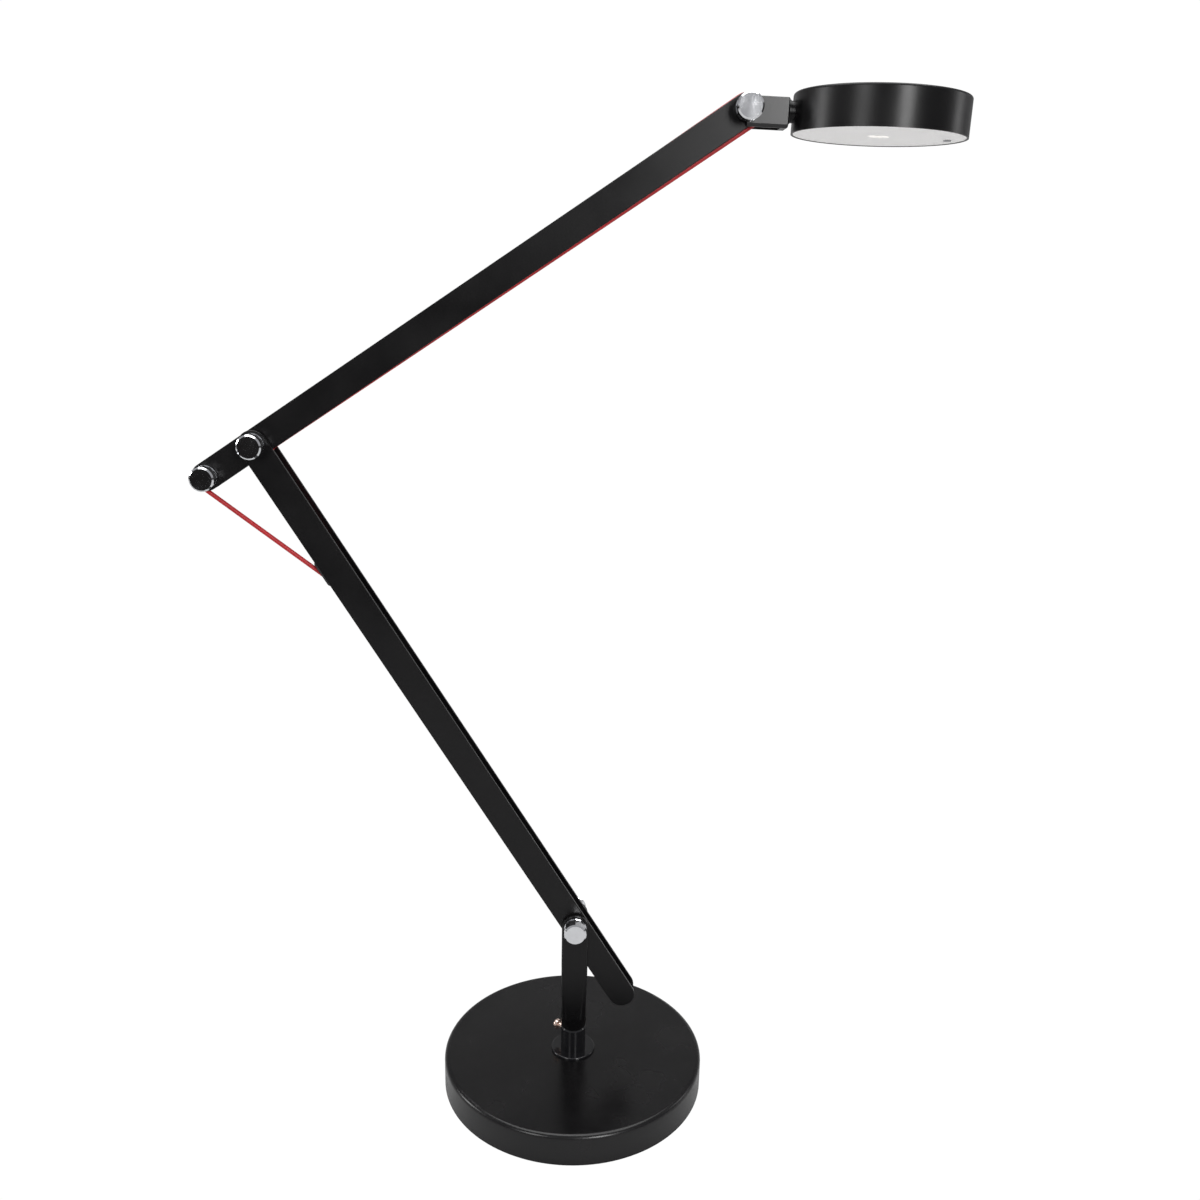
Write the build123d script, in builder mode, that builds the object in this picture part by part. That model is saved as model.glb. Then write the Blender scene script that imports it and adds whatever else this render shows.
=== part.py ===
from build123d import *
from math import acos, asin, atan2, ceil, cos, degrees, pi, radians, sin, tan
import os

# Architect desk lamp: a weighted round base, a forked post that swivels in a collar, two flat-bar
# arms with clamp knobs, and a thin round LED head. Two red leads run inside the open arms.
# Millimetres, +Z up. The origin is the centre of the base's underside. The arms move in the XZ
# plane, the head is towards +X and the clamp knobs face -Y.

# ---------------------------------------------------------------- driving dimensions
# base
base_radius = 90.0
base_height = 23.0
base_edge_round = 3.2
base_foot_chamfer = 0.6
base_wall = 2.0
floor_gap = 0.8
pad_thickness = 1.2
pad_margin = 0.8
bottom_plate_thickness = 1.5
weight_thickness = 16.0
weight_margin = 1.5
weight_bore_radius = 17.0
weight_floor = 3.0
base_screw_circle_radius = 24.0
base_screw_radius = 2.0
base_screw_head_radius = 3.8
base_screw_head_height = 0.9
base_screw_length = 11.0
screw_slot_width = 0.7
gland_radius = 4.5
gland_lip_radius = 5.7
gland_bore_radius = 3.0
gland_depth = 9.0
gland_lip = 2.5
terminal_length = 22.0
terminal_width = 14.0
terminal_height = 9.0
terminal_distance = 38.0
terminal_screw_radius = 2.0
terminal_screw_depth = 3.5
terminal_lead_height = 4.5

# collar on the base, in which the post swivels
flange_radius = 15.2
flange_thickness = 1.6
flange_round = 0.7
collar_radius = 8.6
collar_height = 17.4
collar_chamfer = 1.3
collar_stub_radius = 6.0
collar_nut_radius = 10.5
collar_nut_height = 3.4
stub_overhang = 2.0
stem_radius = 6.0
stem_length = 15.0
set_screw_angle = 145.0
set_screw_drop = 5.6
set_screw_radius = 1.75
set_screw_head_radius = 3.4
set_screw_head_height = 3.0
set_screw_head_round = 1.4
set_screw_reach = 12.4

# post
post_width = 17.8
post_foot_width = 17.0
post_blade = 1.8
post_pivot_height = 124.0
post_slot_bottom = 51.5
post_corner_low = 5.0
post_corner_high = 1.2
post_square_height = 95.0

# arms: flat bars in pairs
lower_arm_length = 380.0
lower_arm_angle = 121.5
lower_arm_tail = 63.0
lower_arm_width = 17.8
lower_plate = 2.0
lower_spacer_setback = 210.0
lower_spacers = (60.0, lower_arm_length - lower_spacer_setback)
upper_arm_length = 348.0
upper_arm_angle = 34.1
upper_arm_tail = 36.0
upper_arm_width = 17.3
upper_arm_depth = 8.8
upper_plate = 1.6
upper_spacer_setback = 58.0
upper_spacers = (60.0, 175.0, upper_arm_length - upper_spacer_setback)
plate_edge_break = 0.3
spacer_radius = 3.2
spacer_shank_radius = 1.5
spacer_cover = 0.5

# joint hardware
bolt_radius = 3.0
washer_thickness = 0.5
washer_radius = 7.0
knob_radius = 7.5
knob_height = 9.8
knob_flats = 12
knob_flat_depth = 0.35
knob_collar = 1.6
knob_rim_chamfer = 0.9
knob_seat_chamfer = 0.4
knob_thread_depth = 6.5
bolt_end_gap = 0.5
tail_head_radius = 5.6
tail_head_height = 2.2
base_sleeve_radius = 4.2
elbow_sleeve_radius = 4.2
drum_radius = 6.35
roller_radius = 6.2
roller_groove_radius = 4.9

# leads
lead_radius = 1.4
lead_pitch = lead_radius + 0.2
lead_bore_radius = lead_pitch + lead_radius + 0.6
span_angle = -37.4
guide_from_elbow = 94.5
guide_offset = 5.5
guide_length = 18.0
guide_inside = 5.6
guide_proud = 1.4
guide_corner = 2.0
mouth_beyond_edge = 6.0
elbow_lead_bend = 5.0
span_offset = 7.8
low_strand_offset = 7.4
low_strand_end = 9.25
high_strand_offset = 5.8
high_strand_end = 7.35

# head bracket and neck
head_tilt = -1.4
neck_drop = 0.2
bracket_height = 16.2
bracket_drop = 1.6
bracket_blade = 3.0
bracket_length = 23.3
bracket_slot_end = 19.2
bracket_front_eye = 7.6
bracket_rear_eye = 9.9
bracket_edge_round = 0.6
bracket_foot_chamfer = 1.8
neck_radius = 6.6
neck_disc = 1.6
neck_boss_radius = 6.0
neck_bore_radius = lead_pitch + lead_radius + 0.1
neck_pin_radius = neck_bore_radius + 0.8
neck_pin_overhang = 1.9
neck_groove_radius = neck_pin_radius - 0.4
neck_clip_thickness = 0.8
neck_stub_radius = neck_bore_radius + 1.7
neck_stub_length = 5.0
neck_nut_radius = 8.0
neck_nut_height = 2.5

# head
head_reach = 27.0
head_radius = 50.0
head_height = 22.0
head_edge_round = 1.6
head_wall = 1.05
head_top_wall = 2.0
diffuser_recess = 0.3
diffuser_thickness = 1.2
diffuser_lip_height = 2.2
diffuser_fit = 0.15
lens_radius = 6.0
lens_recess = 1.4
lens_pocket_radius = 4.0
board_radius = head_radius - 6.0
board_thickness = 1.6
board_height = -6.0
board_screw_circle_radius = head_radius - 14.0
board_screw_radius = 1.4
board_screw_head_radius = 2.6
board_screw_head_height = 1.4
board_screw_length = 9.0
boss_radius = 3.2
chip_size = 5.0
chip_thickness = 0.7
ring_chip_size = 3.0
ring_chip_count = 16
ring_radius = 28.0
sink_radius = 25.0
sink_base = 2.0
fin_height = 8.5
fin_thickness = 1.2
fin_pitch = 6.0
fin_count = 7
head_terminal_distance = head_radius - 19.0
head_terminal_length = 6.5
head_terminal_width = 10.0
head_terminal_height = 4.6
switch_size = 6.0
switch_thickness = 1.8
button_distance = head_radius - 10.0
button_radius = 2.3
button_flange_radius = 3.2
button_flange_thickness = 0.5
button_proud = 0.7
button_travel = 0.8

# clearances
running = 0.05
gap = 0.1
part_gap = 0.3
through = 60.0

# ---------------------------------------------------------------- worked-out places
plate_top = pad_thickness + bottom_plate_thickness
cover_ceiling = base_height - base_wall
weight_bottom = plate_top + gap
weight_top = weight_bottom + weight_thickness
weight_radius = base_radius - base_wall - weight_margin
pocket_floor = weight_bottom + weight_floor
gland_height = (floor_gap + base_height) / 2
flange_top = base_height + flange_thickness
collar_top = flange_top + collar_height
post_foot = collar_top + part_gap
stem_bottom = post_foot - stem_length
socket_floor = stem_bottom - part_gap
stub_bottom = cover_ceiling - collar_nut_height - stub_overhang
set_screw_height = collar_top - set_screw_drop

head_offset = head_radius + head_reach
upper_half = upper_arm_depth / 2
lower_inner = upper_half + washer_thickness + gap
lower_half = lower_inner + lower_plate
upper_inner = upper_half - upper_plate
post_inner = lower_half + washer_thickness + gap
post_outer = post_inner + post_blade
post_top = post_pivot_height + post_width / 2
bracket_inner = upper_half + washer_thickness + gap
bracket_outer = bracket_inner + bracket_blade
neck_clip_radius = bracket_inner - part_gap
knob_bolt_reach = gap + knob_thread_depth - bolt_end_gap

roller_wrap = roller_groove_radius + lead_radius + running
drum_wrap = drum_radius + lead_radius + running
sleeve_pass = base_sleeve_radius + lead_radius + 0.2
elbow_pass = elbow_sleeve_radius + lead_radius + 0.2


def direction(angle):
    """A unit vector in the XZ plane at an angle from +X towards +Z."""
    return Vector(cos(radians(angle)), 0, sin(radians(angle)))


def along(origin, angle, distance, across=0.0, y=0.0):
    """A point at a distance along a direction in the XZ plane, set off to its left and in depth."""
    return origin + direction(angle) * distance + direction(angle + 90) * across + Vector(0, y, 0)


def heading(start, end):
    """The angle of the line from one point to another in the XZ plane."""
    return degrees(atan2(end.Z - start.Z, end.X - start.X))


def meet(start, start_angle, end, end_angle):
    """The point where two lines in the XZ plane cross."""
    a, b, reach = direction(start_angle), direction(end_angle), end - start
    return start + a * ((reach.X * b.Z - reach.Z * b.X) / (a.X * b.Z - a.Z * b.X))


base_pivot = Vector(0, 0, post_pivot_height)
elbow = along(base_pivot, lower_arm_angle, lower_arm_length)
tail = along(elbow, upper_arm_angle, -upper_arm_tail)
head_pivot = along(elbow, upper_arm_angle, upper_arm_length)


def on_lower(distance, across, y=0.0):
    """A point on the lower arm, from the base joint, to the left of its centre line."""
    return along(base_pivot, lower_arm_angle, distance, across, y)


def on_upper(distance, across, y=0.0):
    """A point on the upper arm, from the elbow, to the left of its centre line."""
    return along(elbow, upper_arm_angle, distance, across, y)


def on_neck(distance, height, y=0.0):
    """A point by the neck's axis, at a distance from the head joint and a height over the axis."""
    return along(head_pivot, head_tilt, distance, height - neck_drop, y)


def side_plane(origin, angle, y):
    """A plane facing -Y at a depth, with its x axis along a direction in the XZ plane."""
    return Plane(origin=(origin.X, y, origin.Z), x_dir=direction(angle), z_dir=(0, -1, 0))


def neck_plane(distance):
    """A plane across the neck's axis at a distance from the head joint, facing the head."""
    return Plane(origin=on_neck(distance, 0), x_dir=(0, -1, 0), z_dir=direction(head_tilt))


def head_plane(height):
    """A plane level with the head, at a height over its middle."""
    return Plane(
        origin=on_neck(head_offset, height),
        x_dir=direction(head_tilt),
        z_dir=direction(head_tilt + 90),
    )


def save(piece, name):
    piece.part.label = name
    export_step(piece.part, f"parts/{name}.step")


os.makedirs("parts", exist_ok=True)

# ---------------------------------------------------------------- base
with BuildPart() as base_cover:
    with BuildSketch(Plane.XY.offset(floor_gap)):
        Circle(base_radius)
    extrude(amount=base_height - floor_gap)
    fillet(base_cover.edges().group_by(Axis.Z)[-1], base_edge_round)
    chamfer(base_cover.edges().group_by(Axis.Z)[0], base_foot_chamfer)
    with BuildSketch(Plane.XY.offset(floor_gap)):
        Circle(base_radius - base_wall)
    extrude(amount=cover_ceiling - floor_gap, mode=Mode.SUBTRACT)
    with BuildSketch(Plane.XY.offset(cover_ceiling)):
        Circle(collar_stub_radius + gap)
    extrude(amount=base_wall, mode=Mode.SUBTRACT)
    with BuildSketch(Plane(origin=(0, base_radius, gland_height), z_dir=(0, 1, 0))):
        Circle(gland_radius + gap)
    extrude(amount=-base_wall * 2, mode=Mode.SUBTRACT)
save(base_cover, "base_cover")

# the strain-relief bush at the back, for the mains lead
with BuildPart() as lead_gland:
    with BuildSketch(Plane(origin=(0, base_radius - gland_depth, gland_height), z_dir=(0, 1, 0))):
        Circle(gland_radius)
    extrude(amount=gland_depth + gap)
    with BuildSketch(Plane(origin=(0, base_radius + gap, gland_height), z_dir=(0, 1, 0))):
        Circle(gland_lip_radius)
    extrude(amount=gland_lip, taper=12)
    with BuildSketch(Plane(origin=(0, base_radius + through, gland_height), z_dir=(0, 1, 0))):
        Circle(gland_bore_radius)
    extrude(amount=-through * 2, mode=Mode.SUBTRACT)
save(lead_gland, "lead_gland")

# the cast weight has a bore for the collar's nut, a pocket for the terminal block, and channels
# from the bore to the pocket and from the pocket to the gland
with BuildPart() as base_weight:
    with BuildSketch(Plane.XY.offset(weight_bottom)):
        Circle(weight_radius)
        Circle(weight_bore_radius, mode=Mode.SUBTRACT)
    extrude(amount=weight_thickness)
    chamfer(base_weight.edges().group_by(Axis.Z)[-1], 1.0)
    with BuildSketch(Plane.XY.offset(pocket_floor)):
        with Locations((0, terminal_distance)):
            Rectangle(terminal_width + 4, terminal_length + 4)
        with Locations((0, weight_bore_radius)):
            Rectangle(terminal_width, terminal_distance - weight_bore_radius)
        with Locations((0, weight_radius)):
            Rectangle(gland_lip_radius * 2, 2 * (weight_radius - terminal_distance))
    extrude(amount=weight_thickness, mode=Mode.SUBTRACT)
    with BuildSketch(Plane.XY.offset(weight_bottom)):
        with PolarLocations(base_screw_circle_radius, 4, start_angle=-45 - 22.5):
            Circle(base_screw_radius + running)
    extrude(amount=base_screw_length, mode=Mode.SUBTRACT)
save(base_weight, "base_weight")

with BuildPart() as base_bottom_plate:
    with BuildSketch(Plane.XY.offset(pad_thickness)):
        Circle(base_radius - base_wall - pad_margin)
        with PolarLocations(base_screw_circle_radius, 4, start_angle=-45 - 22.5):
            Circle(base_screw_radius + gap, mode=Mode.SUBTRACT)
    extrude(amount=bottom_plate_thickness)
    with BuildSketch(Plane.XY.offset(pad_thickness)):
        with PolarLocations(base_screw_circle_radius, 4, start_angle=-45 - 22.5):
            Circle(base_screw_head_radius + gap)
    extrude(amount=base_screw_head_height + gap, mode=Mode.SUBTRACT)
save(base_bottom_plate, "base_bottom_plate")

with BuildPart() as base_pad:
    with BuildSketch():
        Circle(base_radius - base_wall - pad_margin)
    extrude(amount=pad_thickness)
save(base_pad, "base_pad")

with BuildPart() as base_screws:
    with BuildSketch(Plane.XY.offset(pad_thickness + gap)):
        with PolarLocations(base_screw_circle_radius, 4, start_angle=-45 - 22.5):
            Circle(base_screw_head_radius)
    extrude(amount=base_screw_head_height)
    with BuildSketch(Plane.XY.offset(pad_thickness + gap)):
        with PolarLocations(base_screw_circle_radius, 4, start_angle=-45 - 22.5):
            Circle(base_screw_radius)
    extrude(amount=base_screw_length)
    with BuildSketch(Plane.XY.offset(pad_thickness + gap)):
        with PolarLocations(base_screw_circle_radius, 4, start_angle=-45 - 22.5):
            Rectangle(base_screw_radius * 2, screw_slot_width)
            Rectangle(screw_slot_width, base_screw_radius * 2)
    extrude(amount=base_screw_head_height * 0.7, mode=Mode.SUBTRACT)
save(base_screws, "base_screws")

with BuildPart() as terminal_block:
    with BuildSketch(Plane.XY.offset(pocket_floor)):
        with Locations((0, terminal_distance)):
            RectangleRounded(terminal_width, terminal_length, 1.2)
    extrude(amount=terminal_height)
    with BuildSketch(Plane.XY.offset(pocket_floor + terminal_height)):
        with Locations((0, terminal_distance)):
            with GridLocations(terminal_width / 2, terminal_length / 2, 2, 2):
                Circle(terminal_screw_radius)
    extrude(amount=-terminal_screw_depth, mode=Mode.SUBTRACT)
save(terminal_block, "terminal_block")

# ---------------------------------------------------------------- collar and swivel
with BuildPart() as base_flange:
    with BuildSketch(Plane.XY.offset(base_height)):
        Circle(flange_radius)
    extrude(amount=flange_thickness)
    fillet(base_flange.edges().group_by(Axis.Z)[-1], flange_round)
    with BuildSketch(Plane.XY.offset(base_height)):
        Circle(collar_stub_radius + gap)
    extrude(amount=flange_thickness, mode=Mode.SUBTRACT)
save(base_flange, "base_flange")

set_screw_direction = Vector(cos(radians(set_screw_angle)), sin(radians(set_screw_angle)), 0)
set_screw_plane = Plane(origin=(0, 0, set_screw_height), z_dir=set_screw_direction)
with BuildPart() as socket_collar:
    with BuildSketch(Plane.XY.offset(flange_top)):
        Circle(collar_radius)
    extrude(amount=collar_height)
    chamfer(socket_collar.edges().group_by(Axis.Z)[-1], collar_chamfer)
    with BuildSketch(Plane.XY.offset(stub_bottom)):
        Circle(collar_stub_radius)
    extrude(amount=flange_top - stub_bottom)
    with BuildSketch(Plane.XY.offset(socket_floor)):
        Circle(stem_radius + running)
    extrude(amount=through, mode=Mode.SUBTRACT)
    with BuildSketch(Plane.XY.offset(stub_bottom)):
        Circle(lead_bore_radius)
    extrude(amount=through, mode=Mode.SUBTRACT)
    with BuildSketch(set_screw_plane):
        Circle(set_screw_radius + running)
    extrude(amount=collar_radius * 2, mode=Mode.SUBTRACT)
save(socket_collar, "socket_collar")

with BuildPart() as socket_nut:
    with BuildSketch(Plane.XY.offset(cover_ceiling - running)):
        RegularPolygon(collar_nut_radius, 6)
        Circle(collar_stub_radius + running, mode=Mode.SUBTRACT)
    extrude(amount=-collar_nut_height)
save(socket_nut, "socket_nut")

with BuildPart() as set_screw:
    with BuildSketch(set_screw_plane.offset(stem_radius + gap)):
        Circle(set_screw_radius)
    extrude(amount=set_screw_reach - stem_radius)
    with BuildSketch(set_screw_plane.offset(set_screw_reach)):
        Circle(set_screw_head_radius)
    extrude(amount=set_screw_head_height)
    outer_rim = set_screw.edges().sort_by(Axis(set_screw_plane.origin, set_screw_direction))[-1]
    fillet(outer_rim, set_screw_head_round)
save(set_screw, "set_screw")

# ---------------------------------------------------------------- post
# the foot is round to match the collar, and grows into a squarer fork by ruled transitions
with BuildPart() as post:
    with BuildSketch(Plane.XY.offset(post_foot)):
        RectangleRounded(post_foot_width, post_foot_width, post_foot_width / 2 - gap)
    with BuildSketch(Plane.XY.offset(post_slot_bottom)):
        RectangleRounded(post_width, post_outer * 2, post_corner_low)
    loft(ruled=True)
    with BuildSketch(Plane.XY.offset(post_slot_bottom)):
        RectangleRounded(post_width, post_outer * 2, post_corner_low)
    with BuildSketch(Plane.XY.offset(post_square_height)):
        RectangleRounded(post_width, post_outer * 2, post_corner_high)
    loft(ruled=True)
    with BuildSketch(Plane.XY.offset(post_square_height)):
        RectangleRounded(post_width, post_outer * 2, post_corner_high)
    extrude(amount=post_top - post_square_height)
    with BuildSketch(Plane.XZ.offset(-post_outer)):
        with Locations((0, (post_foot + post_pivot_height) / 2)):
            Rectangle(post_width + 2, post_pivot_height - post_foot)
        with Locations((0, post_pivot_height)):
            Circle(post_width / 2)
    extrude(amount=post_outer * 2, mode=Mode.INTERSECT)
    with BuildSketch(Plane.XY.offset(stem_bottom)):
        Circle(stem_radius)
    extrude(amount=post_foot - stem_bottom)
    with BuildSketch(Plane.YZ.offset(-post_width)):
        with Locations((0, (post_slot_bottom + post_top + 1) / 2)):
            Rectangle(post_inner * 2, post_top + 1 - post_slot_bottom)
    extrude(amount=post_width * 2, mode=Mode.SUBTRACT)
    with BuildSketch(side_plane(base_pivot, 0, post_outer)):
        Circle(bolt_radius + running)
    extrude(amount=post_outer * 2, mode=Mode.SUBTRACT)
    with BuildSketch(Plane.XY.offset(stem_bottom)):
        Circle(lead_bore_radius)
    extrude(amount=post_slot_bottom - stem_bottom, mode=Mode.SUBTRACT)
save(post, "post")


# ---------------------------------------------------------------- joint hardware
def clamp_bolt(name, centre, half):
    """A clamp bolt along Y that ends in a knob at each side."""
    reach = half + knob_bolt_reach
    with BuildPart() as piece:
        with BuildSketch(side_plane(centre, 0, reach)):
            Circle(bolt_radius)
        extrude(amount=reach * 2)
    save(piece, name)


def knob(name, centre, half, side, turn=0.0):
    """A clamp knob with a faceted grip and a flat chamfered face, on the front (-1) or back (1)."""
    seat = Plane(origin=(centre.X, side * (half + gap), centre.Z), x_dir=(1, 0, 0), z_dir=(0, side, 0))
    out = Axis(centre, (0, side, 0))
    with BuildPart() as piece:
        with BuildSketch(seat):
            Circle(knob_radius)
        extrude(amount=knob_height)
        chamfer(piece.edges().filter_by(GeomType.CIRCLE).sort_by(out)[-1], knob_rim_chamfer)
        chamfer(piece.edges().filter_by(GeomType.CIRCLE).sort_by(out)[0], knob_seat_chamfer)
        with BuildSketch(seat.offset(knob_collar)):
            Circle(knob_radius + 1)
            RegularPolygon(
                knob_radius - knob_flat_depth, knob_flats, major_radius=False, rotation=turn, mode=Mode.SUBTRACT
            )
        extrude(amount=knob_height - knob_collar - knob_rim_chamfer, mode=Mode.SUBTRACT)
        with BuildSketch(seat):
            Circle(bolt_radius + running)
        extrude(amount=knob_thread_depth, mode=Mode.SUBTRACT)
    save(piece, name)


def washers(name, centre, half):
    """A pair of friction washers, one on each side of the inner bar of a joint."""
    with BuildPart() as piece:
        for y in (half + gap / 2 + washer_thickness, -half - gap / 2):
            with BuildSketch(side_plane(centre, 0, y)):
                Circle(washer_radius)
                Circle(bolt_radius + running, mode=Mode.SUBTRACT)
            extrude(amount=washer_thickness)
    save(piece, name)


def sleeve(name, centre, radius, half):
    """A round sleeve between the two plates of an arm, bored for the clamp bolt."""
    with BuildPart() as piece:
        with BuildSketch(side_plane(centre, 0, half - running)):
            Circle(radius)
            Circle(bolt_radius + running, mode=Mode.SUBTRACT)
        extrude(amount=(half - running) * 2)
    save(piece, name)


for joint_name, joint_centre, joint_half, inner_half in (
    ("base", base_pivot, post_outer, lower_half),
    ("elbow", elbow, lower_half, upper_half),
    ("head", head_pivot, bracket_outer, upper_half),
):
    clamp_bolt(f"{joint_name}_bolt", joint_centre, joint_half)
    knob(f"{joint_name}_knob", joint_centre, joint_half, -1)
    knob(f"{joint_name}_bolt_cap", joint_centre, joint_half, 1, 180 / knob_flats)
    washers(f"{joint_name}_washers", joint_centre, inner_half)
sleeve("base_sleeve", base_pivot, base_sleeve_radius, lower_inner)
sleeve("elbow_sleeve", elbow, elbow_sleeve_radius, upper_inner)
sleeve("head_drum", head_pivot, drum_radius, upper_inner)

# the tail has a knob on the front only: its bolt has a low round head at the back
knob("tail_knob", tail, upper_half, -1)
with BuildPart() as tail_bolt:
    with BuildSketch(side_plane(tail, 0, upper_half + gap)):
        Circle(bolt_radius)
    extrude(amount=upper_half * 2 + gap + knob_bolt_reach)
    with BuildSketch(side_plane(tail, 0, upper_half + gap + tail_head_height)):
        Circle(tail_head_radius)
    extrude(amount=tail_head_height)
    fillet(tail_bolt.edges().filter_by(GeomType.CIRCLE).sort_by(Axis.Y)[-1], tail_head_height * 0.6)
save(tail_bolt, "tail_bolt")

roller_half = upper_inner - part_gap
with BuildPart() as tail_roller:
    with BuildSketch(side_plane(tail, 0, roller_half)):
        Circle(roller_radius)
        Circle(bolt_radius + running, mode=Mode.SUBTRACT)
    extrude(amount=roller_half * 2)
    with BuildSketch(Plane(origin=tail, x_dir=(1, 0, 0), z_dir=(0, 0, 1))):
        with Locations((roller_wrap, 0)):
            Circle(lead_radius + running)
    revolve(axis=Axis(tail, (0, 1, 0)), mode=Mode.SUBTRACT)
save(tail_roller, "tail_roller")


# ---------------------------------------------------------------- arms
def arm_plate(name, pivot, angle, start, end, width, inner, thickness, side, holes, spacers):
    """A flat bar with round ends, on the front (-1) or back (1) of its arm."""
    inside = Plane(origin=(pivot.X, side * inner, pivot.Z), x_dir=direction(angle), z_dir=(0, side, 0))
    spacer_side = 1 if side < 0 else -1
    with BuildPart() as piece:
        with BuildSketch(inside):
            with Locations(((start + end) / 2, 0)):
                SlotCenterToCenter(end - start, width)
            with Locations(*[(hole, 0) for hole in holes]):
                Circle(bolt_radius + running, mode=Mode.SUBTRACT)
        extrude(amount=thickness)
        face_edges = piece.edges().group_by(Axis.Y)[0 if side < 0 else -1]
        chamfer(face_edges.filter_by(lambda edge: edge.length > width * 1.4), plate_edge_break)
        with BuildSketch(inside):
            with Locations(*[(place, 0) for place in spacers]):
                Circle(spacer_shank_radius + running)
        extrude(amount=thickness - spacer_cover, mode=Mode.SUBTRACT)
    save(piece, name)


def plate_spacers(name, pivot, angle, inner, thickness, spacers):
    """Spacers between an arm's plates. Each has a shank that is pressed into both plates."""
    shank_half = inner + thickness - spacer_cover - running
    with BuildPart() as piece:
        with BuildSketch(side_plane(pivot, angle, inner - running)):
            with Locations(*[(place, 0) for place in spacers]):
                Circle(spacer_radius)
        extrude(amount=(inner - running) * 2)
        with BuildSketch(side_plane(pivot, angle, shank_half)):
            with Locations(*[(place, 0) for place in spacers]):
                Circle(spacer_shank_radius)
        extrude(amount=shank_half * 2)
    save(piece, name)


for plate_name, plate_side in (("front", -1), ("rear", 1)):
    arm_plate(
        f"lower_arm_{plate_name}_plate", base_pivot, lower_arm_angle, -lower_arm_tail, lower_arm_length,
        lower_arm_width, lower_inner, lower_plate, plate_side, (0, lower_arm_length), lower_spacers,
    )
    arm_plate(
        f"upper_arm_{plate_name}_plate", elbow, upper_arm_angle, -upper_arm_tail, upper_arm_length,
        upper_arm_width, upper_inner, upper_plate, plate_side,
        (-upper_arm_tail, 0, upper_arm_length), upper_spacers,
    )
plate_spacers("lower_arm_spacers", base_pivot, lower_arm_angle, lower_inner, lower_plate, lower_spacers)
plate_spacers("upper_arm_spacers", elbow, upper_arm_angle, upper_inner, upper_plate, upper_spacers)


# ---------------------------------------------------------------- leads
def corner_radii(points):
    """Each corner's radius: 0.45 of its shorter run over the tangent of half its turn."""
    radii = []
    for before, corner, after in zip(points, points[1:], points[2:]):
        into, out = corner - before, after - corner
        radii.append(0.45 * min(into.length, out.length) / tan(radians(into.get_angle(out) / 2)))
    return radii


def wrap(centre, radius, start, end):
    """The corners, with their radii, that carry a lead round a round piece from angle to angle."""
    count = ceil(abs(end - start) / 60)
    step = (end - start) / count
    corner_distance = radius / cos(radians(step / 2))
    corners = [along(centre, start + step * (i + 0.5), corner_distance) for i in range(count)]
    return corners, [radius - running] * count


def leads(name, *routes):
    """One or two leads, each along straight runs joined by tangent arcs."""
    total = 0.0
    with BuildPart() as piece:
        for points, radii in routes:
            with BuildLine() as line:
                if radii:
                    FilletPolyline(*points, radius=radii)
                else:
                    Line(*points)
            with BuildSketch(Plane(origin=line.line @ 0, z_dir=line.line % 0)):
                Circle(lead_radius)
            sweep()
            total += sum(edge.length for edge in line.edges())
            print(name, "radii", [round(radius, 1) for radius in radii])
    section = pi * lead_radius**2
    print(name, "length", round(total, 1), "volume ratio", round(piece.part.volume / (section * total), 3))
    save(piece, name)


def free(points):
    """A route whose corners are all as wide as their runs allow."""
    return points, corner_radii(points)


lead_split = socket_floor - 2 * part_gap
terminal_face = terminal_distance - terminal_length / 2
terminal_lead = pocket_floor + terminal_lead_height
leads(
    "leads_base",
    *[
        free(
            [
                Vector(0, side * lead_pitch, lead_split),
                Vector(side * 1.35, side * 1.35, lead_split - 4.5),
                Vector(side * 1.9, 0, lead_split - 13.0),
                Vector(side * 2.6, 4.0, terminal_lead),
                Vector(side * 3.5, 12.0, terminal_lead),
                Vector(side * 3.5, terminal_face, terminal_lead),
            ]
        )
        for side in (1, -1)
    ],
)

post_lead_end = post_slot_bottom + 4.0
leads(
    "leads_post",
    *[
        ([Vector(0, y, stem_bottom), Vector(0, y, post_lead_end)], [])
        for y in (lead_pitch, -lead_pitch)
    ],
)

# past the base joint both leads go up the left of the sleeve, between the two plates
arm_lead_start = 30.0
joint_corner = meet(base_pivot, 90, on_lower(0, sleeve_pass), lower_arm_angle)
leads(
    "leads_base_joint",
    *[
        free(
            [
                Vector(0, y, post_lead_end),
                joint_corner + Vector(0, y, 0),
                on_lower(arm_lead_start, sleeve_pass, y),
            ]
        )
        for y in (lead_pitch, -lead_pitch)
    ],
)

# the rear lead leaves the arm by the guide and spans to the tail roller
span_contact = span_angle - 90
span_foot = along(tail, span_contact, span_offset)
plate_edge = meet(span_foot, span_angle, on_lower(0, lower_arm_width / 2), lower_arm_angle)
span_mouth = along(plate_edge, span_angle, -mouth_beyond_edge)
span_corner = meet(span_foot, span_angle, on_lower(0, sleeve_pass), lower_arm_angle)
guide_place = (plate_edge - base_pivot).dot(direction(lower_arm_angle))
rear_lead_route = free(
    [
        on_lower(arm_lead_start, sleeve_pass, lead_pitch),
        along(span_corner, lower_arm_angle, -45.0, 0, lead_pitch),
        span_corner,
        span_mouth,
    ]
)

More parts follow.
